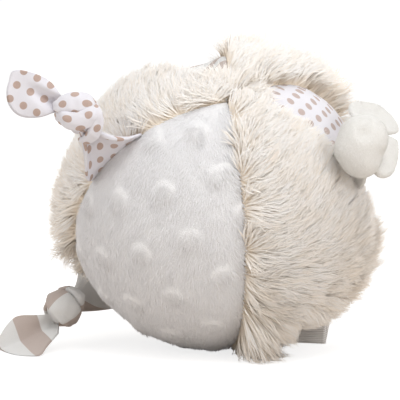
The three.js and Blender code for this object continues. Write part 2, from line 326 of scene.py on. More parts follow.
def weave(tree, place, pitch=0.55):
    """Height of a plain weave."""
    parts = add_node(tree, "SeparateXYZ", (0, place))
    threads = []
    for k in range(2):
        turn = math_node(tree, "MULTIPLY", parts.node.outputs[k], 2 * math.pi / pitch)
        threads.append(math_node(tree, "SINE", turn))
    return math_node(tree, "MULTIPLY", *threads)


def dots_mask(tree, place, pitch, diameter):
    """1 inside the dots of a staggered grid."""
    scaled = add_node(tree, "VectorMath", (0, place), ("Scale", 1 / pitch), operation="SCALE")
    lengths = []
    for shift in (0, 0.5):
        moved = add_node(tree, "VectorMath", (0, scaled), (1, (shift, shift, 0)), operation="ADD")
        cell = add_node(tree, "VectorMath", (0, moved), operation="FRACTION")
        centred = add_node(tree, "VectorMath", (0, cell), (1, (0.5, 0.5, 0)), operation="SUBTRACT")
        lengths.append(add_node(tree, "VectorMath", (0, centred), operation="LENGTH", out=1))
    nearest = math_node(tree, "MINIMUM", *lengths)
    radius, soft = diameter / 2 / pitch, DOT_EDGE / pitch
    return add_node(tree, "MapRange", (0, nearest), (1, radius + soft), (2, radius - soft))


DOT_EDGE = 0.12  # half the soft edge of a printed dot
STRIPE_EDGE = 0.15
COTTON_WHITE = (244, 242, 247)
COTTON_SHADE = (234, 232, 238)
# The tag's white is a darker copy of the gore's cotton white: painted shade.
SHADED_TAG_WHITE = (235, 233, 239)
STRIPE_WHITE = (236, 235, 233)
STRIPE_TAUPE = (203, 189, 181)


def dotted_cotton(name, pitch, diameter, white, dot, dot_shade):
    material, tree, shader = new_material(name, roughness=0.85, sheen=0.08)
    place = cloth_map(tree)
    mottled = mixed(tree, noise(tree, 0.5), dot, dot_shade)
    ground = mixed(tree, noise(tree, 9), white, COTTON_SHADE)
    paint(tree, shader, dots_mask(tree, place, pitch, diameter), ground, mottled)
    bump(tree, shader, weave(tree, place), 0.05)
    return material


def striped_cotton(name, pitch, share):
    """Stripes across the cloth, where share is the taupe part of the pitch."""
    material, tree, shader = new_material(name, roughness=0.85, sheen=0.08)
    place = cloth_map(tree)
    along = add_node(tree, "SeparateXYZ", (0, place), out=1)
    phase = math_node(tree, "FRACT", math_node(tree, "DIVIDE", along, pitch))
    off = math_node(tree, "ABSOLUTE", math_node(tree, "SUBTRACT", phase, 0.5))
    soft = STRIPE_EDGE / pitch
    mask = add_node(tree, "MapRange", (0, off), (1, share / 2 + soft), (2, share / 2 - soft))
    taupe = mixed(tree, noise(tree, 0.5), STRIPE_TAUPE, (193, 178, 170))
    white = mixed(tree, noise(tree, 0.6), STRIPE_WHITE, (229, 228, 226))
    paint(tree, shader, mask, white, taupe)
    bump(tree, shader, weave(tree, place), 0.06)
    return material


def pile(name, light, dark, grain, depth, sheen):
    """Short plush pile: fine mottled relief and a soft sheen."""
    material, tree, shader = new_material(name, roughness=0.95, sheen=sheen, specular=0.15)
    paint(tree, shader, noise(tree, grain, 4), dark, light)
    fine = noise(tree, grain * 0.6, 5)
    tufts = noise(tree, grain * 3, 2)
    bump(tree, shader, math_node(tree, "ADD", fine, math_node(tree, "MULTIPLY", tufts, 0.6)), depth)
    return material


def fibre(name, root, middle, tip, shade):
    """Fibres that pale from root to tip, painted shade deep in the pile, each with its own tint."""
    material, tree, shader = new_material(name, roughness=0.75, sheen=0.1, specular=0.2)
    along, tint = (add_node(tree, "Attribute", out=2, attribute_name=key) for key in ("along", "tint"))
    # Painted shade: the ramp runs from a darker, warmer root deep in the pile to a pale tip, and the tint
    # mixes in the shade colour.
    paint(tree, shader, tint, ramp(tree, along, (0, root), (0.45, middle), (1, tip)), shade)
    return material


def ribbed(name, light, dark, pitch):
    """Ribs across the cloth, with painted shade in the grooves between them."""
    material, tree, shader = new_material(name, roughness=0.6, sheen=0.1)
    along = add_node(tree, "SeparateXYZ", (0, cloth_map(tree)), out=1)
    rib = math_node(tree, "SINE", math_node(tree, "MULTIPLY", along, 2 * math.pi / pitch))
    height = math_node(tree, "MULTIPLY_ADD", rib, 0.5)
    height.node.inputs[2].default_value = 0.5
    # Painted shade: the cloth is darker where the ribs are low, in the grooves.
    paint(tree, shader, height, dark, light)
    bump(tree, shader, height, 0.25)
    return material


def moulded(name, light, dark, roughness):
    material, tree, shader = new_material(name, roughness=roughness, specular=0.5)
    paint(tree, shader, noise(tree, 6), dark, light)
    bump(tree, shader, noise(tree, 0.4), 0.02)
    return material


MINKY = pile("minky_plush", (246, 246, 247), (232, 231, 231), 0.9, 0.35, 0.3)
# Minky pile: darker at the root, painted shade deep in the pile.
MINKY_PILE = fibre("minky_pile", (233, 232, 233), (241, 241, 243), (246, 246, 248), (226, 225, 226))
FUR_SKIN = pile("fur_backing", (248, 238, 222), (242, 226, 204), 1.5, 0.5, 0)
# Long fur: its root colour is painted shade deep in the fur, and its last colour, which the lower fur takes
# more of, is painted shade from the warm light below.
FUR = fibre("long_fur", (249, 236, 218), (254, 252, 249), (255, 254, 253), (250, 238, 222))
# The tag's cotton is a darker copy of the gore's: its white and dots are painted shade.
DOTTED = dotted_cotton("dotted_cotton", 10.3, 3.7, SHADED_TAG_WHITE, (200, 177, 166), (188, 163, 152))
DOTTED_GORE = dotted_cotton("dotted_gore_cotton", 10.6, 4, COTTON_WHITE, (206, 188, 182), (197, 178, 172))
STRIPED = striped_cotton("striped_cotton", 23, 0.53)
PLUSH = pile("white_plush", (239, 238, 235), (228, 226, 221), 0.8, 0.3, 0.2)
# Plush pile: darker at the root, painted shade deep in the pile.
PLUSH_PILE = fibre("plush_pile", (236, 233, 228), (240, 239, 236), (243, 242, 240), (233, 230, 225))
# Ribbon: its darker colour is painted shade in the grooves between the ribs.
RIBBON = ribbed("ribbed_ribbon", (247, 244, 241), (228, 223, 219), 1.05)
FILLING = pile("fibre_filling", (248, 248, 246), (232, 232, 230), 3, 1, 0)
CAPSULE = moulded("capsule_plastic", (240, 240, 236), (230, 230, 226), 0.45)
BEAD = moulded("bead_plastic", (216, 162, 92), (204, 148, 78), 0.3)


# Gores
def gore_grid(gore, rows, columns):
    """Polar angles and longitudes of a gore's points, closer together near its seams."""
    tip = GATHER_RADIUS / SEAM_RADIUS
    polar = np.linspace(tip, np.pi - tip, rows + 1)[:, None]
    even = np.linspace(0, 1, columns + 1)
    share = (even + (1 - np.cos(np.pi * even)) / 2) / 2
    first, last = np.radians(GORES[gore])
    inset = np.arcsin(SEAM_GAP / 2 / (SEAM_RADIUS * np.sin(polar)))
    turn = first + inset + (last - first - 2 * inset) * share
    return np.broadcast_to(polar, turn.shape), turn


def flat_place(gore, polar, turn):
    """Where a point of a gore lies on its flat cloth: across from its middle and along from the pole."""
    middle = np.radians(sum(GORES[gore]) / 2)
    return np.stack([SEAM_RADIUS * np.sin(polar) * (turn - middle), SEAM_RADIUS * polar], -1)


def above_floor(points, extra=0.0):
    points[..., 2] = np.maximum(points[..., 2], FLOOR_CLEAR + extra)
    return points


def settled(points):
    """Cloth that comes to rest on the floor."""
    points[..., 2] = FLOOR_CLEAR + SETTLE * np.logaddexp(0, (points[..., 2] - FLOOR_CLEAR) / SETTLE)
    return points


def gore_shell(gore, rows, columns, material, rise, relief=None):
    polar, turn = gore_grid(gore, rows, columns)
    flat = flat_place(gore, polar, turn)
    outwards = ball_axes(polar, turn)[0]
    radius = crown(gore, polar, turn, rise)
    if relief is not None:
        radius = radius + relief(flat, CENTRE + outwards * SEAM_RADIUS)
    front = above_floor(CENTRE + outwards * radius[..., None])
    inside = np.minimum(SEAM_RADIUS, radius) - CLOTH
    back = above_floor(CENTRE + outwards * inside[..., None], FLAT_CLOTH)
    return Form().shell(front, back, flat).piece(gore.replace("panel", "gore"), material)


DOT_DIAMETER = 13  # raised dots of the minky
DOT_ACROSS = 19.8  # between columns of dots
DOT_ALONG = 32  # between dots of one column, and every second column is shifted by half of it
DOT_START = (-1.5, 23.5)  # one dot, across and along
DOT_HEIGHT = 1.15
DOT_FOOT = 1.08  # where a dot's side ends, how wide it is and how far the top falls, in shares
DOT_SIDE = 0.55
DOT_DOME = 0.18


def raised_dots(flat, points):
    column = np.round((flat[..., 0] - DOT_START[0]) / DOT_ACROSS)
    along = (flat[..., 1] - DOT_START[1]) / DOT_ALONG - 0.5 * (column % 2)
    off_along = (along - np.round(along)) * DOT_ALONG
    off_across = flat[..., 0] - DOT_START[0] - column * DOT_ACROSS
    reach = np.hypot(off_along, off_across) / (DOT_DIAMETER / 2)
    dome = ease((DOT_FOOT - reach) / DOT_SIDE) * (1 - DOT_DOME * np.clip(reach, 0, 1) ** 2)
    return DOT_HEIGHT * dome + 0.35 * wander(points, 38, 11) + 0.12 * wander(points, 9, 12)


# Longitudes of a cotton gore, the same for both
COTTON_SPAN = GORES["panel_dotted"][1] - GORES["panel_dotted"][0]
PUCKER_PLACE = 4  # distance from a seam to its small gathers
PUCKER_REACH = 5
PUCKER_PITCH = 6
PUCKER_DEPTH = 0.45


def cotton_edge(flat):
    """Distance to the nearest seam of a cotton gore."""
    half = SEAM_RADIUS * np.sin(flat[..., 1] / SEAM_RADIUS) * np.radians(COTTON_SPAN / 2)
    return half - np.abs(flat[..., 0])


def soft_relief(flat, points):
    gathers = np.sin(2 * np.pi * flat[..., 1] / PUCKER_PITCH + 1.5 * wander(points, 30, 23))
    gathers = gathers * np.exp(-((cotton_edge(flat) - PUCKER_PLACE) / PUCKER_REACH) ** 2)
    return 0.45 * wander(points, 42, 21) + 0.15 * wander(points, 12, 22) + PUCKER_DEPTH * gathers


DENT_PLACE = (38, 200.5)  # middle of the hollow in the striped gore: from the pole, and its longitude
DENT_REACH = 21
DENT_DEPTH = 15
DENT_SHOULDER = 13


def dent(away):
    """Depth of the hollow between two fur gores, where the striped gore lies sunken."""
    middle = ball_axes(*np.radians(DENT_PLACE))[0]
    off = np.degrees(np.arccos(np.clip(away @ middle, -1, 1)))
    return DENT_DEPTH * np.exp(-(off / DENT_REACH) ** 2)


def sunken_relief(flat, points):
    return soft_relief(flat, points) - dent(unit(points - CENTRE)) * ease(cotton_edge(flat) / DENT_SHOULDER)


minky = gore_shell("panel_minky", 150, 110, MINKY, SMOOTH_RISE, raised_dots)
dotted_gore = gore_shell("panel_dotted", 90, 44, DOTTED_GORE, SMOOTH_RISE, soft_relief)
striped_gore = gore_shell("panel_striped", 90, 44, STRIPED, SMOOTH_RISE, sunken_relief)
fur_skins = {
    gore: gore_shell(gore, 60, 30, FUR_SKIN, rise)
    for gore, rise in FUR_SKIN_RISE.items()
}


# Tag frames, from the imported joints
def joint_frame(name):
    """Origin and axes at a hinge: x along it and z as near as can be to straight out of the ball."""
    joint = next(j for j in frame["joints"] if j["name"] == name)
    origin = np.array(joint["pos_m"]) / MM
    x = unit(np.array(joint["axis"]))
    z = unit(origin - CENTRE)
    z = unit(z - x * (z @ x))
    return origin, np.stack([x, np.cross(z, x), z])


def placed(frame_at, points):
    origin, axes = frame_at
    return origin + np.asarray(points, float) @ axes


HANGING = ("dotted_tag", "striped_tag", "plush_tag", "ribbon")
TAG_FRAMES = {name: joint_frame(f"{name}_swing") for name in HANGING}


# Fur
SEGMENTS = 3  # of a strand, which ends in a point
STRAND_SIDES = 3
BLADE = np.array([(-1, 0), (1, 0), (0, 0.3)])  # a strand's cross-section, with its flat side outwards
LOCK = 24  # strands in a lock
FLAT_TIP = math.radians(4)
FAR_END = (92, 118)  # polar angles over which the fur changes once more, far from the pole
END_SHARE = (0.1, 0.45)  # and shares of the gore's width over which that change varies
SEAM_REACH = 3  # how far from a seam the fur leans over it
LEAN_SHORTER = 0.4  # share of its length that leaning fur loses
LEAN_FLATTER = 0.6  # and of its lift
EDGE_REACH = 5  # how far from a seam the fur parts and stands up
EDGE_LIFT = 14
FRINGE = (76, 98)  # polar angles over which the fringe at the front begins
FRINGE_SHARE = (0.03, 0.23)  # shares of the gore's width over which it ends
ROOT_DEPTH = 0.3  # of a strand in its cloth
LIFT_WANDER = 8  # uneven lift from place to place
LIFT_SPREAD = 6  # and from strand to strand
TIP_LIFT = 5  # of a strand's tip near the pole
TIP_FALL = 23  # and what it gains away from it
STRAND_BEND = 0.22
STRAND_SHARES = (0.78, 1.12)  # least and greatest share of its length that a strand has
LOCK_HOLD = (0.55, 0.45)  # share of the pull into locks near the pole, and what it gains away from it
CUTS = 4  # how often a strand that hides the ribbon is shortened
CUT_SHARE = 0.78  # and what each cut leaves


def scatter(gore, count, rng):
    """Even but irregular roots on a gore: polar angles and longitudes."""
    k = np.arange(count)
    golden = 1.32471795724474602596
    u = (rng.random() + k / golden) % 1
    v = (rng.random() + k / golden**2) % 1
    first, last = np.radians(GORES[gore])
    return np.arccos(np.clip(1 - 2 * v, -0.9996, 0.9996)), first + (last - first) * (0.004 + 0.992 * u)


def kept_length(root, trims):
    """Share of its length that a strand keeps near thin places, each a place, a reach and a cut."""
    kept = np.ones(len(root))
    for place, reach, cut in trims:
        off = np.linalg.norm(root - np.array(place, float), axis=-1)
        kept = kept * (1 - cut * np.exp(-((off / reach) ** 2)))
    return kept


def combed(gore, polar, turn, style, rng, jitter):
    """Where strands start and how they lie there."""
    count, degrees = len(polar), np.degrees(polar)
    outwards, away, around = ball_axes(polar, turn)
    root = CENTRE + outwards * (crown(gore, polar, turn, FUR_SKIN_RISE[gore]) - ROOT_DEPTH)[:, None]
    near, far = seam_distances(gore, polar, turn)
    share = near / (near + far)
    fall = passed(degrees, style["fall"])

    def spread(key):
        top, low = (first + (last - first) * share for first, last in style[key])
        return between(top, low, fall)

    edge = np.exp(-np.minimum(near, far) / EDGE_REACH)
    far_end = passed(degrees, FAR_END)
    end_share = passed(share, END_SHARE)
    tufty = 0.5 + fall
    swirl = style["swirl"] * (wander(root, 55, style["seed"]) + tufty * 0.6 * wander(root, 17, 5))
    parting = style["parting"] * edge * wander(root, 13, style["seed"] + 2)
    angle = np.radians(spread("comb") + swirl + parting + tufty * jitter * rng.normal(size=count))
    leaning = passed(degrees, style["lean"])
    over_first, over_last = (
        most * np.exp(-off / SEAM_REACH) * leaning for most, off in zip(style["overhang"], (near, far))
    )
    over = over_first + over_last
    flow = heading(angle, away, around) * (1 - over)[:, None] + around * (over_last - over_first)[:, None]
    uneven = LIFT_WANDER * tufty * wander(root, 20, style["seed"] + 1)
    lift = spread("lift") + uneven + LIFT_SPREAD * tufty * rng.normal(size=count)
    lift = lift + far_end * between(*style["end_lift"], end_share)
    length = spread("length") * (1 + 0.1 * wander(root, 20, 9)) * rng.uniform(*STRAND_SHARES, count)
    length = length * (1 + far_end * between(*style["end_length"], end_share))
    length = length * kept_length(root, style["trims"]) * (1 - LEAN_SHORTER * over)
    fringe = passed(degrees, FRINGE) * (1 - passed(share, FRINGE_SHARE))
    fringe_length, fringe_lift, fringe_tip = style["fringe"]
    lift = lift + fringe_lift * fringe
    return {
        "root": root,
        "normal": outwards,
        "flow": flow,
        "side": np.cross(outwards, flow),
        "lift": np.radians(lift * (1 - LEAN_FLATTER * over) + EDGE_LIFT * edge * (1 - over)),
        "tip": np.radians(TIP_LIFT + TIP_FALL * fall + fringe_tip * fringe),
        "fall": fall,
        "length": length * (1 + fringe_length * fringe),
        "bend": rng.normal(size=count) * STRAND_BEND,
    }


def lying(root, normal, flow, rng, lift, length, bend):
    """Plain strands. lift is a mean and a spread, and length has a least and a greatest share."""
    count = len(root)
    return {
        "root": root,
        "normal": normal,
        "flow": flow,
        "side": np.cross(normal, flow),
        "lift": np.radians(lift[0] + lift[1] * rng.normal(size=count)),
        "length": length[0] * rng.uniform(*length[1:], count),
        "bend": rng.normal(size=count) * bend,
    }


def strand_path(s):
    """Points of each strand from root to tip."""
    path = [s["root"]]
    for k in range(SEGMENTS):
        at = (k + 0.5) / SEGMENTS
        angle = (s["lift"] * (1 - at) + s.get("tip", FLAT_TIP) * at)[:, None]
        sway = s["side"] * (s["bend"] * (2 * at - 0.6))[:, None]
        step = unit(s["normal"] * np.sin(angle) + s["flow"] * np.cos(angle) + sway)
        path.append(path[-1] + step * (s["length"] / SEGMENTS)[:, None])
    return np.stack(path, 1)


def strands(name, path, normal, radius, tint, material, taper=0.75):
    """Flat fibres along paths, each one a closed spike."""
    count = len(path)
    tangent = unit(np.gradient(path, axis=1))
    a = unit(np.cross(tangent, normal[:, None]))
    b = np.cross(tangent, a)
    at = np.arange(SEGMENTS) / SEGMENTS
    size = radius[:, None] * (1 - at**1.5 * taper)
    rings = path[:, :-1, None] + size[..., None, None] * (
        BLADE[:, :1] * a[:, :-1, None] + BLADE[:, 1:] * b[:, :-1, None]
    )
    points = np.concatenate([rings.reshape(count, -1, 3), path[:, -1:]], 1)
    each = points.shape[1]
    k = np.arange(STRAND_SIDES)
    after = (k + 1) % STRAND_SIDES
    quads = np.concatenate([
        np.stack([r + k, r + after, r + STRAND_SIDES + after, r + STRAND_SIDES + k], -1)
        for r in STRAND_SIDES * np.arange(SEGMENTS - 1)
    ])
    last = STRAND_SIDES * (SEGMENTS - 1)
    tips = np.concatenate([
        np.stack([last + k, last + after, np.full(STRAND_SIDES, each - 1)], -1),
        np.arange(STRAND_SIDES)[None, ::-1],
    ])
    across = int(math.ceil(math.sqrt(count)))
    cell = np.stack([np.arange(count) % across, np.arange(count) // across], -1) / across

    def on_map(sideways, up):
        """Places of one row of a strand's faces, in shares of its cell."""
        places = (k[:, None] + sideways) / STRAND_SIDES, np.array(up) * (1 / SEGMENTS)
        return np.stack(np.broadcast_arrays(*places), -1)

    top = SEGMENTS - 1
    quad_uv = np.concatenate([on_map((0, 0.9, 0.9, 0), (r, r, r + 0.9, r + 0.9)) for r in range(top)])
    base_uv = np.array([[[0.97, 0.0], [0.99, 0.0], [0.98, 0.02]]])
    tip_uv = np.concatenate([on_map((0, 0.9, 0.45), (top, top, top + 0.9)), base_uv])
    offset = (np.arange(count) * each)[:, None, None]
    form = Form()
    form.points = [points.reshape(-1, 3)]
    form.faces = [(quads[None] + offset).reshape(-1, 4), (tips[None] + offset).reshape(-1, 3)]
    form.uvs = [
        (cell[:, None, None] + 0.94 * quad_uv[None] / across).reshape(-1, 4, 2),
        (cell[:, None, None] + 0.94 * tip_uv[None] / across).reshape(-1, 3, 2),
    ]
    along = np.concatenate([np.repeat(at, STRAND_SIDES), [1]])
    values = {"along": np.tile(along, count), "tint": np.repeat(tint, each)}
    return form.piece(name, material, "OFBake", values, smooth=False)


def keep_out(path, spheres):
    """Pushes strands out of the room that the tags need."""
    for middle, radius in spheres:
        off = path - middle
        reach = np.linalg.norm(off, axis=-1, keepdims=True)
        inside = reach < radius
        path = np.where(inside, middle + off / np.maximum(reach, 1e-6) * radius, path)
    return path


def cut_back(path, low, high):
    """Shortens the strands that reach into a box, which keeps the ribbon in view."""
    root = path[:, :1]
    for k in range(CUTS):
        inside = ((path > np.array(low)) & (path < np.array(high))).all(-1).any(1)
        path = np.where(inside[:, None, None], root + (path - root) * CUT_SHARE, path)
    return path


def fur_coat(gore, name, count, style, coat, seed):
    thickness, share, pull_share = coat
    rng = np.random.default_rng(seed)
    lock_style = combed(gore, *scatter(gore, count // LOCK, rng), style, rng, style["unruly"])
    own = combed(gore, *scatter(gore, count, rng), style, rng, style["unruly"] * 0.6)
    for part in (lock_style, own):
        part["length"] = part["length"] * share
        part["lift"] = part["lift"] * share
    tree = KDTree(len(lock_style["root"]))
    for k, point in enumerate(lock_style["root"]):
        tree.insert(point, k)
    tree.balance()
    nearest = np.array([tree.find(point)[1] for point in own["root"]])
    own_path = strand_path(own)
    lock_path = strand_path(lock_style)[nearest]
    at = np.arange(SEGMENTS + 1) / SEGMENTS
    hold = LOCK_HOLD[0] + LOCK_HOLD[1] * own["fall"]
    pull = pull_share * style["lock_pull"] * hold * rng.uniform(0.6, 1.1, count)
    path = own_path + (lock_path - own_path) * (pull[:, None] * at**1.3)[..., None]
    for box in RIBBON_VIEW:
        path = cut_back(path, *box)
    path = above_floor(keep_out(path, TAG_ROOM), rng.uniform(0, 0.9, (count, 1)))
    lock_tint = rng.uniform(0, 0.4, len(lock_style["root"]))[nearest]
    # Painted shade: fur further from the pole takes more of the warmer shade colour; the rest of the tint
    # varies at random by lock and strand.
    tint = np.clip(lock_tint + 0.25 * own["fall"] + rng.normal(size=count) * 0.15, 0, 1)
    radius = thickness * rng.uniform(0.75, 1.2, count)
    return strands(name, path, own["normal"], radius, tint, FUR)


def tag_room(name, *balls):
    return [(placed(TAG_FRAMES[name], place), radius) for place, radius in balls]


TAG_ROOM = (
    tag_room("dotted_tag", ((-11, 0, 3), 4), ((0, 1, 7), 8), ((11, 0, 3), 4), ((7, 8, 25), 12))
    + tag_room("striped_tag", ((-10, -2, 4), 6), ((0, -2, 8), 7), ((2, -12.7, 20.8), 11))
    + tag_room("plush_tag", ((3, 0, 9), 7), ((7, 0.7, 21.5), 13))
    + tag_room("ribbon", ((0, 3, 5), 7), ((0, 10, 8), 8), ((0, 18, 10), 8), ((0, 25, 12), 8))
)
# Room in front of the ribbon where no fur hangs: low and high corners
RIBBON_VIEW = [
    ((50, -60, -1), (69, 12, 14)),
    ((41, -60, -1), (70, -10, 7)),
    ((34, -60, -1), (41, -14, 3.5)),
]
# How the fur lies. A comb, length or lift has two pairs, for near the pole and far from it, and a pair is for
# a gore's first and last seam. It changes over the polar angles in fall. A comb of 0 points away from the
# pole, and a positive one towards the last seam. A fringe adds a share of length, a lift and a tip's lift.
FUR_STYLES = {
    "panel_fur_right": {
        "seed": 31, "fall": (60, 105),
        "comb": ((118, 85), (38, 66)), "length": ((15.5, 11), (17, 23)), "lift": ((48, 42), (58, 69)),
        "end_length": (0.1, -0.36), "end_lift": (0, -16), "fringe": (1.0, 18, 42),
        "overhang": (0.45, 0.2), "lean": (10, 30), "trims": [((52, -14, 16), 12, 0.3)],
    },
    "panel_fur_top": {
        "seed": 41, "fall": (30, 80),
        "comb": ((15, -30), (30, 30)), "length": ((18, 19.5), (34.5, 21)), "lift": ((66, 58), (80, 55)),
        "end_length": (-0.38, -0.35), "end_lift": (-8, 0),
        "overhang": (0.8, 0.6), "lean": (85, 105), "parting": 50, "lock_pull": 0.6,
    },
    "panel_fur_left": {
        "seed": 51, "fall": (60, 100),
        "comb": ((-85, -65), (-65, -45)), "length": ((12.5, 13), (20, 21)), "lift": ((38, 35), (48, 53)),
        "overhang": (0.2, 0.2), "lean": (60, 90),
        "trims": [((-63.5, -3, 90), 18, 0.3), ((-52, -8, 42), 12, 0.15)],
    },
}
FUR_COMMON = {
    "swirl": 22, "unruly": 20, "lock_pull": 0.82, "parting": 100,
    "end_length": (0, 0), "end_lift": (0, 0), "fringe": (0, 0, 0), "trims": [],
}
# Half width of a strand, its share of length and lift, and its share of the pull into locks
COATS = {"undercoat": (0.42, 0.86, 0.35), "topcoat": (0.24, 1.0, 1.0)}
FUR_COUNTS = {"panel_fur_right": 12000, "panel_fur_top": 8500, "panel_fur_left": 9500}  # of each coat
coats = []
for gore, count in FUR_COUNTS.items():
    style = {**FUR_COMMON, **FUR_STYLES[gore]}
    for k, (coat, values) in enumerate(COATS.items()):
        label = gore.replace("panel_", "") + "_" + coat
        coats.append(fur_coat(gore, label, count, style, values, style["seed"] + 100 * k))

# Fur that closes over the gathered tips at the pole
POLE_TUFT = (60, 280)  # longitudes that it covers
POLE_TUFT_REACH = 13  # from the pole
POLE_TUFT_SWIRL = 25
POLE_TUFT_RISE = 0.2  # of its roots above the seams
POLE_TUFT_LIFT = (34, 10)  # mean and spread
POLE_TUFT_LENGTH = (12, 0.7, 1.15)  # with its least and greatest share
POLE_TUFT_BEND = 0.3


def pole_tuft(count, seed):
    rng = np.random.default_rng(seed)
    polar = np.radians(POLE_TUFT_REACH) * np.sqrt(rng.uniform(0.003, 1, count))
    turn = np.radians(rng.uniform(*POLE_TUFT, count))
    outwards, away, around = ball_axes(polar, turn)
    angle = np.radians(POLE_TUFT_SWIRL * rng.normal(size=count))
    root = CENTRE + outwards * (SEAM_RADIUS + POLE_TUFT_RISE)
    flow = heading(angle, away, around)
    s = lying(root, outwards, flow, rng, POLE_TUFT_LIFT, POLE_TUFT_LENGTH, POLE_TUFT_BEND)
    radius = COATS["topcoat"][0] * rng.uniform(0.75, 1.2, count)
    return strands("fur_pole_tuft", strand_path(s), outwards, radius, rng.uniform(0, 0.5, count), FUR)


coats.append(pole_tuft(1500, 91))

# Short pile of the minky, which lies over its raised dots and hangs over its seams
PILE_LENGTH = (3.6, 0.75, 1.2)  # with its least and greatest share
PILE_RADIUS = 0.17
PILE_LIFT = (22, 8)  # mean and spread
PILE_BEND = 0.15
PILE_HANG = 0.6  # how far the nap turns from away from the pole to straight down
PILE_SPREAD = 9  # of the nap's direction between strands
PILE_EDGE_TURN = 50  # of the nap towards a seam beside it
PILE_ROOT = 0.25  # depth of a strand's root


def minky_pile(name, count, seed):
    rng = np.random.default_rng(seed)
    polar, turn = scatter("panel_minky", count, rng)
    outwards, away, around = ball_axes(polar, turn)
    place = CENTRE + outwards * SEAM_RADIUS
    relief = raised_dots(flat_place("panel_minky", polar, turn), place)
    radius = crown("panel_minky", polar, turn, SMOOTH_RISE) + relief - PILE_ROOT
    near, far = seam_distances("panel_minky", polar, turn)
    edge = np.exp(-np.minimum(near, far) / 4) * np.where(near < far, -1, 1)
    angle = 18 * wander(place, 40, 81) + 14 * wander(place, 8, 82)
    angle = np.radians(angle + PILE_SPREAD * rng.normal(size=count) + PILE_EDGE_TURN * edge)
    down = outwards * outwards[:, 2:] - np.array([0, 0, 1])
    nap = unit(away * (1 - PILE_HANG) + down * PILE_HANG)
    flow = heading(angle, nap, np.cross(outwards, nap))
    root = CENTRE + outwards * radius[:, None]
    s = lying(root, outwards, flow, rng, PILE_LIFT, PILE_LENGTH, PILE_BEND)
    path = above_floor(strand_path(s), rng.uniform(0, 0.3, (count, 1)))
    on_dot = np.clip(relief / DOT_HEIGHT, 0, 1) ** 2
    tint = np.clip(rng.uniform(0, 0.4, count) + 0.6 * on_dot, 0, 1)
    return strands(name, path, outwards, PILE_RADIUS * rng.uniform(0.8, 1.2, count), tint, MINKY_PILE)


minky_coats = [minky_pile(f"minky_pile_{k + 1}", 12000, 83 + k) for k in range(2)]


# Tags. Points and directions are in the frame of a tag's root: x along the seam to the pole, z outwards.
# puff is half the thickness of the sewn root, in its middle and along its folded edges.
TAGS = {
    "dotted": {
        "root_width": 36, "neck_width": 15, "neck_curl": 150, "opens_to": -1, "sag": 0,
        "pleat": 0.7, "cloth": 0.7, "puff": (0.95, 2.6), "first": 0, "seen": -1, "twist": 0,
        "knot": (7, 8, 25), "knot_size": (10.5, 9, 12.5),
        "tail_root": (2.8, 14.9, 34.5), "tail_aim": (-0.31, 0.59, 0.74), "tail_face": (0.41, -0.62, 0.67),
    },
    "striped": {
        "root_width": 44, "neck_width": 15, "neck_curl": 140, "opens_to": 1, "sag": -22,
        "pleat": 0.6, "cloth": 0.7, "puff": (0.95, 1.5), "first": 9, "seen": -1, "twist": 50,
        "knot": (2.1, -12.7, 20.8), "knot_size": (9.5, 9, 10.5),
        "tail_root": (5.6, -16.6, 28.4), "tail_aim": (0.46, -0.14, 0.88), "tail_face": (0.75, -0.62, -0.5),
    },
    "plush": {
        "root_width": 27, "neck_width": 17, "neck_curl": 140, "opens_to": 1, "sag": -5,
        "pleat": 0.3, "cloth": 2, "puff": (2.4, 3.2), "first": 0, "seen": 1, "twist": 0,
        "knot": (7, 0.7, 21.5), "knot_size": (13, 11.5, 11.5),
        "tail_root": (-0.4, -8, 18.2), "tail_aim": (-0.75, -0.65, 0.05), "tail_face": (0.25, -0.3, 0.92),
    },
}


def aimed(frame_at, place, along, face):
    """A frame inside another one, with z along a direction and y near a face direction."""
    z = unit(np.array(along, float))
    x = unit(np.cross(face, z))
    return placed(frame_at, place), np.stack([x, np.cross(z, x), z]) @ frame_at[1]


def knot_frame(name):
    tag = TAGS[name]
    knot = np.array(tag["knot"], float)
    along = knot + np.array(tag["tail_aim"]) * np.linalg.norm(knot)
    return aimed(TAG_FRAMES[f"{name}_tag"], knot, along, tag["tail_face"])


def tail_frame(name):
    tag = TAGS[name]
    return aimed(TAG_FRAMES[f"{name}_tag"], tag["tail_root"], tag["tail_aim"], tag["tail_face"])


def loop_section(flatness, count):
    """A flat loop at even steps of its length, from the middle of its back: shares across and outwards."""
    turn = np.linspace(-np.pi / 2, 3 * np.pi / 2, 1500)
    across = np.sign(np.cos(turn)) * np.abs(np.cos(turn)) ** 0.6
    out = np.sign(np.sin(turn)) * np.abs(np.sin(turn)) ** 0.6
    length = np.concatenate([[0], np.cumsum(np.hypot(np.diff(across), np.diff(out) * flatness))])
    even = np.linspace(0.001, 0.999, count) * length[-1]
    return np.interp(even, length, across)[None], np.interp(even, length, out)[None]


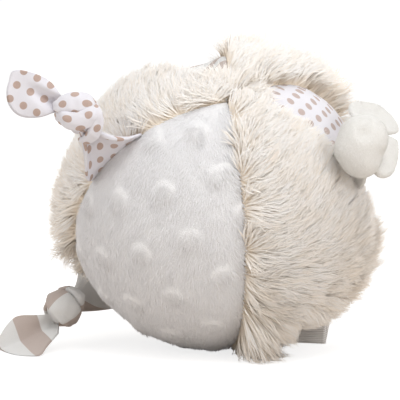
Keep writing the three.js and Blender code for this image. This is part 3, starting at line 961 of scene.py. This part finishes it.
def flare(name, material, rows=34, columns=100):
    """The sewn root: a flat tube of cloth on the seam that curls into an open fold on its way to the knot."""
    tag = TAGS[name]
    knot = np.array(tag["knot"], float)
    v = np.linspace(0, 1, rows + 1)[:, None]
    across, out = loop_section(0.08, columns + 1)
    out = out * tag["seen"]
    path = 2 * ((1 - v) * v)[..., None] * np.array([0, 0, knot[2] / 2]) + (v**2)[..., None] * knot
    path[..., 0] += tag["sag"] * (1 - v**2.2)
    curl = np.radians(tag["neck_curl"]) * np.maximum(v, 0.001)
    angle = curl * across
    cos, sin = (f(np.radians(tag["twist"]) * v) for f in (np.cos, np.sin))
    narrowing = (1 - np.cos(np.pi * v**1.5)) / 2
    half = (tag["root_width"] + (tag["neck_width"] - tag["root_width"]) * narrowing) / 2
    middle, edge = tag["puff"]
    puff = (middle + (edge - middle) * np.abs(across) ** 6) * (0.7 + 0.3 * v)
    pleat = tag["pleat"] * v * np.sin(across * 8) * (1 + 0.5 * np.sin(across * 3 + 2 * v))
    walls = []
    for inset in (0, tag["cloth"]):
        radius = (half - inset) / curl
        height = out * np.maximum(puff - inset, 0.12) + pleat
        x = (radius - tag["opens_to"] * height) * np.sin(angle)
        y = radius * (1 - np.cos(angle)) * tag["opens_to"] + height * np.cos(angle)
        at = path + np.stack([x * cos - y * sin, x * sin + y * cos, 0 * x], -1)
        at[..., 2] -= at[..., 0] ** 2 / (2 * SEAM_RADIUS) * (1 - v)
        walls.append(above_floor(placed(TAG_FRAMES[f"{name}_tag"], at)))
    girth, along = (np.zeros((rows + 1, columns + 1)) for k in range(2))
    girth[:, 1:] = np.cumsum(np.linalg.norm(np.diff(walls[0], axis=1), axis=-1), 1)
    along[1:] = np.cumsum(np.linalg.norm(np.diff(walls[0], axis=0), axis=-1), 0)
    uv = np.stack([girth - girth[:, columns // 2, None], tag["first"] + along], -1)
    return Form().shell(*walls, uv).piece(f"{name}_tag_flare", material)


def on_knot(size, path, side):
    """Places on the front or back of a knot, from their x, z and lift off it. The ends are tucked in."""
    x, z, lift = np.array(path, float).T
    room = 1 - (x / size[0]) ** 2 - (z / size[2]) ** 2
    y = size[1] * np.sqrt(np.clip(room, 0.02, 1)) + lift
    y[[0, -1]] -= 3.5
    return np.stack([x, y * side, z], -1)


def band(form, knot_at, size, path, half_width, thickness, seed, side, folds, rows=48, columns=60):
    """A strip of cloth drawn round a knot, with folds that run along it."""
    line = spline(on_knot(size, path, side), rows)
    tangent = unit(np.gradient(line, axis=0))
    outwards = unit(line / np.array(size) ** 2)
    outwards = unit(outwards - tangent * (outwards * tangent).sum(-1, keepdims=True))
    sideways = np.cross(tangent, outwards)
    across, out = (share[:, :-1] for share in loop_section(thickness / 2 / half_width, columns + 1))
    s = np.linspace(0, 1, rows)[:, None]
    slim = np.sin(np.pi * (0.05 + 0.9 * s)) ** 0.35
    wave = np.abs(np.sin(2.3 * across + seed + 0.9 * np.sin(3 * s + seed))) - 0.6
    ridges = folds * wave * (0.45 + 0.55 * np.abs(2 * s - 1)) * (out > 0)
    wide = half_width * slim * across
    high = thickness / 2 * slim * out + ridges - 0.16 * half_width * across**2
    rings = line[:, None] + sideways[:, None] * wide[..., None] + outwards[:, None] * high[..., None]
    rings = rings + outwards[:, None] * (0.25 * wander(rings, 6, seed))[..., None]
    lengths = np.concatenate([[0], np.cumsum(np.linalg.norm(np.diff(line, axis=0), axis=-1))])[:, None]
    girth = np.linspace(-0.5, 0.5, columns + 1)[None] * (4 * half_width + 1.5 * thickness)
    uv = np.stack([girth + 0 * lengths + 7 * seed, lengths - lengths[-1] / 2 + 0 * girth], -1)
    form.tube(above_floor(placed(knot_at, rings)), uv)


def all_round(polar, columns):
    """Directions at polar angles, all the way round."""
    turn = np.linspace(0, 2 * np.pi, columns + 1)[None, :-1]
    away = [np.sin(polar) * np.cos(turn), np.sin(polar) * np.sin(turn), np.cos(polar) + 0 * turn]
    return np.stack(away, -1)


LOBE_SHARPNESS = 9  # how sharply one lobe of a lump meets another


def lump(form, at, lobes, seed, stretch=(1, 1, 1), dimples=(), lumps=0.03, rows=60, columns=80):
    """A soft lump over lobes, each a place and a radius. A dimple is a direction, a reach and a depth."""
    polar = np.linspace(0.02, np.pi - 0.02, rows)[:, None]
    away = all_round(polar, columns)
    total = 0
    for place, radius in lobes:
        along = away @ np.array(place, float)
        inside = radius**2 - np.dot(place, place) + along**2
        reach = np.where(inside > 0, along + np.sqrt(np.maximum(inside, 0)), 0)
        total = total + np.maximum(reach, 0) ** LOBE_SHARPNESS
    radius = total ** (1 / LOBE_SHARPNESS) * (1 + lumps * wander(away, 1.1, seed))
    for direction, reach, depth in dimples:
        off = np.arccos(np.clip(away @ unit(np.array(direction, float)), -1, 1))
        radius = radius - depth * np.exp(-(off / reach) ** 2)
    size = radius.mean()
    girth = np.linspace(0, 2 * np.pi, columns + 1)[None] * size
    uv = np.stack([girth + 0 * polar, polar * size + 0 * girth], -1)
    form.tube(above_floor(placed(at, away * radius[..., None] * stretch)), uv)


def leaf(form, at, outline, root, thickness, shape, offset=0.0, edge=0.5, uv_turn=0.0, rows=30, columns=60):
    """A fan of cloth from a root to an outline, in the x and z of a frame. shape gives its height, y."""
    rim = spline(outline, columns + 1)[None]
    root = np.array(root, float)
    v = np.linspace(0.1, 1, rows + 1)[:, None]
    u = np.linspace(-1, 1, columns + 1)[None]
    flat = root + (rim - root) * v[..., None]
    height = shape(flat[..., 0], flat[..., 1]) + offset
    near_rim = np.maximum(np.abs(u) + 0 * v, v + 0 * u)
    half = thickness / 2 * (edge + (1 - edge) * np.sqrt(np.clip(1 - near_rim**6, 0, 1)))
    cos, sin = math.cos(uv_turn), math.sin(uv_turn)
    uv = np.stack([flat[..., 0] * cos - flat[..., 1] * sin, flat[..., 0] * sin + flat[..., 1] * cos], -1)
    faces = [np.stack([flat[..., 0], height + k * half, flat[..., 1]], -1) for k in (1, -1)]
    form.shell(*(settled(placed(at, face)) for face in faces), uv)


LAYER = 0.8  # cloth of a loose end
LAYER_OFF = 0.42  # from the middle of a loose end to the middle of a layer
# Knots of cloth: radius, seed and stretch of the lump inside, and the bands round it. A band has half its
# width, its thickness, seed, side, depth of folds and path. A place on a path is an x, a z and a lift.
KNOTS = {
    "dotted": (8, 61, (0.85, 0.9, 1.25), [
        (5.2, 4.2, 1, 1, 0.6, [
            (3, 13.5, 0), (0.5, 12.5, 2), (-3.8, 9, 1.5), (-7.5, 3.5, 2), (-7.5, -1.5, 1),
        ]),
        (4.5, 4.4, 2, 1, 0.35, [
            (6.8, 9.6, 0), (5.6, 7.6, 2), (3.6, 3.8, 2), (-0.8, 0.5, 2.2), (-5.5, -0.5, 2.5), (-9, 0, 1),
        ]),
        (3.3, 3.6, 3, 1, 0.3, [
            (-8.5, 1.5, 0), (-6.8, -1.2, 3), (-2.8, -5, 2.6), (2.6, -7.4, 2.2), (7, -8, 1), (8.5, -7, 0),
        ]),
        (7, 4, 4, -1, 0.6, [(-8, 3, 0), (-5, 2, 1), (3, -1, 1), (7, -3, 0)]),
    ]),
    "striped": (7.4, 62, (1.05, 0.95, 1.15), [
        (7, 4.4, 5, 1, 0.5, [
            (-8.6, 1.6, 0), (-7, 1.6, 1), (-3, 1.4, 1.6), (2, 1, 1.8), (6.5, 0.5, 1.6), (9, 0, 0),
        ]),
        (3, 3.2, 6, 1, 0.3, [(-8.4, -5, 0), (-6.4, -7, 1.5), (-2.5, -8.6, 3), (2, -8.6, 3), (6, -7, 0)]),
        (7, 4, 7, -1, 0.6, [(-8.6, 0, 0), (-4, 1, 1), (4, 1, 1), (8.6, 0, 0)]),
    ]),
}


def cloth_knot(name, material):
    radius, seed, stretch, bands = KNOTS[name]
    at, form = knot_frame(name), Form()
    lump(form, at, [((0, 0, 0), radius)], seed, stretch=stretch, lumps=0.05)
    for half_width, thickness, seed, side, folds, path in bands:
        band(form, at, TAGS[name]["knot_size"], path, half_width, thickness, seed, side, folds)
    return form.piece(f"{name}_tag_knot", material)


def loose_end(name, material, outline, root, shape, uv_turn=0.0):
    """A loose end of two layers, the back one a little larger."""
    at, form = tail_frame(name), Form()
    leaf(form, at, outline, root, LAYER, shape, offset=LAYER_OFF, uv_turn=uv_turn)
    wider = [(x * 1.03 + 0.4, z * 1.01) for x, z in outline]
    leaf(form, at, wider, root, LAYER, shape, offset=-LAYER_OFF, uv_turn=uv_turn)
    return form.piece(f"{name}_tag_end", material)


def dotted_fold(x, z):
    """A valley that leaves the knot between an upper lip and a lower belly."""
    valley = 4.4 * np.exp(-(((x + 0.6) / 2.5) ** 2)) * (1 - ease(z / 20))
    lip = 1.8 * np.exp(-(((x + 5.2) / 2.4) ** 2)) * (1 - ease((z - 6) / 16))
    belly = 1.8 * np.exp(-(((x - 5) / 4.5) ** 2)) * (1 - ease(z / 24))
    return lip + belly - valley - 1.5 * ease(z / 26) + 0.8 * np.sin(z / 5 + x / 7)


DOTTED_RIM = [
    (-5, 0.5), (-8.6, 9), (-8, 19.1), (-5, 26.4), (0, 26), (5.5, 24.3), (10, 20.5), (12, 15.1),
    (11, 10), (7.5, 4), (2.5, -0.5),
]
dotted_flare = flare("dotted", DOTTED)
dotted_knot = cloth_knot("dotted", DOTTED)
dotted_tail = loose_end("dotted", DOTTED, DOTTED_RIM, (-0.5, -3), dotted_fold, uv_turn=0.8)


def striped_fold(x, z):
    """A hollow at the knot and a lower edge that is folded up."""
    hollow = 2.4 * np.exp(-(((x - 3) / 3) ** 2)) * (1 - ease(z / 16))
    below = np.maximum(x - 4.5 - 0.1 * z, 0)
    return 2.4 * below - hollow + 0.6 * np.sin(z / 4) - 1.2 * ease(-x / 8)


STRIPED_RIM = [
    (-1.3, -2.6), (-3.6, 5.9), (-6, 13.3), (-5.4, 17.9), (-1.7, 24.2), (2.4, 27.9), (8.2, 29.3), (13.4, 26.8),
    (15.8, 21.2), (16, 15.4), (12.6, 9.1), (8.5, 0),
]
striped_flare = flare("striped", STRIPED)
striped_knot = cloth_knot("striped", STRIPED)
striped_tail = loose_end("striped", STRIPED, STRIPED_RIM, (2.5, -6), striped_fold)

# Plush tag. The places of its lobes are in the part's axes, from the middle of its knot.
PLUSH_LOBES = [((-1, -1, 1), 12), ((-2, -2, -7), 10), ((-7.5, -3, -3.5), 7)]
PLUSH_DIMPLES = [((-0.1, -1, 0.38), 0.25, 1.4), ((0.65, -0.6, -0.5), 0.35, 1)]
plush_flare = flare("plush", PLUSH)
plush_middle = placed(TAG_FRAMES["plush_tag"], TAGS["plush"]["knot"])
form = Form()
lump(form, (plush_middle, np.eye(3)), PLUSH_LOBES, 63, dimples=PLUSH_DIMPLES)
plush_knot = form.piece("plush_tag_knot", PLUSH)


def plush_fold(x, z):
    return 1.2 * np.cos(x / 6) - 0.8 * ease(z / 25)


FLAP_THICKNESS = 3.2
LOBE_THICKNESS = 6
UPPER_FLAP = [
    (9, -5), (19, -2), (23.3, 4), (24.3, 14), (23, 27), (16, 33), (6.5, 28), (3, 18), (3, 6),
]
RIGHT_LOBE = [
    (4, 8), (0.6, 21.2), (-5, 19), (-11.6, 13.4), (-18, 4.7), (-20.5, -5), (-16, -9), (-8, -6), (0, -3),
]
form = Form()
plush_end_at = tail_frame("plush")
leaf(form, plush_end_at, UPPER_FLAP, (8, 2), FLAP_THICKNESS, plush_fold, offset=1.9, edge=0.2)
leaf(form, plush_end_at, RIGHT_LOBE, (0, 0), LOBE_THICKNESS, plush_fold, offset=-1, edge=0.2)
plush_tail = form.piece("plush_tag_end", PLUSH)


def pile_on(piece, name, count, seed):
    """Short pile that stands on a piece."""
    rng = np.random.default_rng(seed)
    mesh = piece.data
    mesh.calc_loop_triangles()
    corners = np.array([triangle.vertices for triangle in mesh.loop_triangles])
    points = np.array([vertex.co for vertex in mesh.vertices]) / MM
    normals = np.array([vertex.normal for vertex in mesh.vertices])
    a, b, c = (points[corners[:, k]] for k in range(3))
    area = np.linalg.norm(np.cross(b - a, c - a), axis=-1)
    chosen = corners[rng.choice(len(corners), count, p=area / area.sum())]
    weights = rng.dirichlet((1, 1, 1), count)[..., None]
    outwards = unit((normals[chosen] * weights).sum(1))
    down = np.array([0.2, 0, -1]) + 0.5 * rng.normal(size=(count, 3))
    flow = unit(np.cross(outwards, np.cross(down, outwards)))
    root = (points[chosen] * weights).sum(1) - PILE_ROOT * outwards
    s = lying(root, outwards, flow, rng, PLUSH_PILE_LIFT, PLUSH_PILE_LENGTH, PLUSH_PILE_BEND)
    path = above_floor(strand_path(s))
    radius = PILE_RADIUS * rng.uniform(0.8, 1.2, count)
    return strands(name, path, outwards, radius, rng.uniform(0, 0.6, count), PLUSH_PILE)


PLUSH_PILE_LENGTH = (1.5, 0.7, 1.2)  # with its least and greatest share
PLUSH_PILE_LIFT = (24, 10)
PLUSH_PILE_BEND = 0.2
plush_knot_pile = pile_on(plush_knot, "plush_knot_pile", 7000, 65)
plush_end_pile = pile_on(plush_tail, "plush_end_pile", 7000, 66)
plush_flare_pile = pile_on(plush_flare, "plush_flare_pile", 3000, 67)

# Ribbon: a folded loop in two layers that hangs from its seam, under the fur
RIBBON_WIDTH = 15.5
RIBBON_LENGTH = 35
RIBBON_BEND = 85  # from straight out of the seam
RIBBON_TURN = 35  # twist that brings the folded end level
RIBBON_CURVE = 8  # length of the bend at the seam, below which the ribbon hangs straight
RIBBON_CLOTH = 0.6
RIBBON_APART = 0.55  # from the middle of the loop to the middle of a layer


def ribbon_loop(rows=90, columns=14):
    bend = math.radians(RIBBON_BEND)
    radius = RIBBON_CURVE / bend
    turn = np.pi * RIBBON_APART
    total = 2 * RIBBON_LENGTH + turn
    s = np.linspace(0, total, rows + 1)
    back = s > RIBBON_LENGTH + turn / 2
    along = np.clip(np.where(back, total - s, s), 0, RIBBON_LENGTH)
    round_the_fold = np.clip((s - RIBBON_LENGTH) / turn, 0, 1) * np.pi
    angle = bend * np.minimum(along / RIBBON_CURVE, 1)
    straight = np.maximum(along - RIBBON_CURVE, 0)
    puff = 1 + 1.2 * np.sin(np.pi * along / RIBBON_LENGTH) ** 2
    twist = math.radians(RIBBON_TURN) * ease(along / RIBBON_LENGTH)[:, None]
    width = np.linspace(-0.5, 0.5, columns + 1)[None] * RIBBON_WIDTH
    grids = []
    for k in (1, -1):
        off = RIBBON_APART + k * RIBBON_CLOTH / 2
        rise = np.cos(round_the_fold) * (off * puff)
        ahead = np.sin(round_the_fold) * off + straight
        out = radius - rise
        y = radius - out * np.cos(angle) + ahead * np.sin(angle)
        z = out * np.sin(angle) + ahead * np.cos(angle)
        points = np.stack([
            width * np.cos(twist),
            y[:, None] - width * np.sin(twist) * np.cos(angle)[:, None],
            z[:, None] + width * np.sin(twist) * np.sin(angle)[:, None],
        ], -1)
        grids.append(above_floor(placed(TAG_FRAMES["ribbon"], points)))
    uv = np.stack(np.broadcast_arrays(width, s[:, None]), -1)
    return Form().shell(*grids, uv).piece("ribbon_folded", RIBBON)


ribbon = ribbon_loop()

# Filling: two lumpy halves round the capsule
RATTLE_ROOM = 17.5
FILLING_RADIUS = SEAM_RADIUS - CLOTH - 0.8
FILLING_CLEAR = 2.6  # above the lowest cloth


def filling_half(side, name, rows=26, columns=64):
    inner = np.linspace(0.04, np.pi / 2 - 0.02, rows)
    polar = np.concatenate([inner, inner[::-1]])[:, None]
    away = all_round(polar, columns) * (1, 1, side)
    lumpy = FILLING_RADIUS - 1.6 + 1.4 * wander(away, 0.35, 71) - dent(away)
    radius = np.where(np.arange(2 * rows)[:, None] < rows, RATTLE_ROOM, lumpy)
    points = above_floor(CENTRE + away * radius[..., None], FILLING_CLEAR)
    girth = np.linspace(0, 200, columns + 1)[None]
    uv = np.stack([girth + 0 * polar, polar * 60 + 0 * girth], -1)
    return Form().tube(points, uv).piece(name, FILLING)


filling_upper = filling_half(1, "filling_fibre_upper")
filling_lower = filling_half(-1, "filling_fibre_lower")

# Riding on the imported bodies
for piece, node, slot in (
    (minky, "panel_minky", "minky_plush"),
    (dotted_gore, "panel_dotted", "dotted_cotton"),
    (striped_gore, "panel_striped", "striped_cotton"),
    (filling_upper, "filling_upper", "fibre_filling"),
    (filling_lower, "filling_lower", "fibre_filling"),
    *((skin, gore, "long_fur") for gore, skin in fur_skins.items()),
):
    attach(piece, "ball")
    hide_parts(node)
for piece, body, slot in (
    *((coat, "ball", "long_fur") for coat in coats),
    *((coat, "ball", "minky_plush") for coat in minky_coats),
    (plush_knot_pile, "plush_tag", "white_plush"),
):
    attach(piece, body)


def follow(piece):
    """Cloth whose place is baked into its points."""
    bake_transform(piece)


TAG_PIECES = {
    "dotted": (dotted_flare, dotted_knot, dotted_tail, "dotted_cotton"),
    "striped": (striped_flare, striped_knot, striped_tail, "striped_cotton"),
    "plush": (plush_flare, plush_knot, plush_tail, "white_plush"),
}
for name, (root, knot, end, slot) in TAG_PIECES.items():
    follow(root)
    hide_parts(f"{name}_flare")
    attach(knot, f"{name}_tag")
    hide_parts(f"{name}_knot")
    follow(end)
    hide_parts(f"{name}_tail")
follow(plush_flare_pile)
follow(plush_end_pile)
follow(ribbon)
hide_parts("ribbon_loop")


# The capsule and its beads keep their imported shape
shells = ("rattle_shell_upper", "rattle_shell_lower")
for node in (*shells, *(f"rattle_bead_{k + 1}" for k in range(4))):
    bpy.data.objects[node].data.materials.clear()
    bpy.data.objects[node].data.materials.append(CAPSULE if node in shells else BEAD)

# Camera
tilt = math.radians(CAMERA_ELEVATION)
toward = np.array([0, -math.cos(tilt), math.sin(tilt)])
upwards = np.array([0, math.sin(tilt), math.cos(tilt)])
rightwards = np.array([1, 0, 0])
off_right, off_down = (BALL_PIXEL[k] - IMAGE_PIXELS / 2 for k in range(2))
pixel = CAMERA_DISTANCE / FOCAL_PIXELS
camera_data = bpy.data.cameras.new("camera")
camera_data.sensor_width = SENSOR_WIDTH
camera_data.lens = FOCAL_PIXELS / IMAGE_PIXELS * SENSOR_WIDTH
camera = add_object("camera", camera_data)
eye = CENTRE + toward * CAMERA_DISTANCE - rightwards * off_right * pixel + upwards * off_down * pixel
camera.location = Vector(eye * MM)
camera.rotation_euler = Vector(-toward).to_track_quat("-Z", "Y").to_euler()
scene.camera = camera

# Floor and light
FLOOR_HALF = 30.0  # metres


def backdrop_material():
    """Pale floor that reads as white in the picture and still takes the shadow."""
    material = bpy.data.materials.new("floor")
    material.use_nodes = True
    tree = material.node_tree
    output = tree.nodes["Material Output"]
    tree.nodes.remove(tree.nodes["Principled BSDF"])
    diffuse = add_node(tree, "BsdfDiffuse", (0, srgb(220, 211, 202)))
    veil = add_node(tree, "BsdfDiffuse", (0, srgb(170, 169, 168)))
    glow = add_node(tree, "Emission", (0, (1, 1, 1, 1)), (1, 0.78))
    seen = add_node(tree, "AddShader", (0, veil), (1, glow))
    rays = add_node(tree, "LightPath")
    camera_ray = rays.node.outputs["Is Camera Ray"]
    glossy_ray = rays.node.outputs["Is Glossy Ray"]
    direct = math_node(tree, "MAXIMUM", camera_ray, glossy_ray)
    shown = add_node(tree, "MixShader", (0, direct), (1, diffuse), (2, seen))
    tree.links.new(shown, output.inputs["Surface"])
    return material


def backdrop():
    mesh = bpy.data.meshes.new("floor")
    corners = [(x, y, 0) for x, y in ((-1, -1), (1, -1), (1, 1), (-1, 1))]
    mesh.from_pydata([(FLOOR_HALF * x, FLOOR_HALF * y, z) for x, y, z in corners], [], [(0, 1, 2, 3)])
    mesh.materials.append(backdrop_material())
    add_object("floor", mesh)


def area_light(name, place, size, power):
    """A soft lamp that faces the ball. Its place is in metres from the ball's middle."""
    data = bpy.data.lights.new(name, "AREA")
    data.shape = "DISK"
    data.size = size
    data.energy = power
    lamp = add_object(name, data)
    lamp.location = Vector(CENTRE * MM) + Vector(place)
    lamp.rotation_euler = (-Vector(place)).to_track_quat("-Z", "Y").to_euler()


SKY_LOW = 0.42  # strength of the soft sky at the horizon
SKY_HIGH = 0.78  # and overhead
backdrop()
area_light("key", (0.2, -0.7, 1.4), size=0.9, power=9)
area_light("fill", (1.0, -0.9, 0.6), size=1.0, power=5)
area_light("side", (-1.2, -0.6, 0.1), size=1.2, power=3.6)
area_light("back", (0.2, 1.3, 0.9), size=1.2, power=6)
world = bpy.data.worlds.new("world")
world.use_nodes = True
sky = world.node_tree
height = add_node(sky, "SeparateXYZ", (0, add_node(sky, "TexCoord", out=0)), out=2)
strength = add_node(sky, "MapRange", (0, height), (1, 0.0), (2, 1.0), (3, SKY_LOW), (4, SKY_HIGH))
sky.nodes["Background"].inputs[0].default_value = (1, 1, 1, 1)
seen_sky = add_node(sky, "LightPath").node.outputs["Is Camera Ray"]
sky.links.new(math_node(sky, "MAXIMUM", strength, seen_sky), sky.nodes["Background"].inputs[1])
scene.world = world
scene.view_settings.view_transform = "Standard"
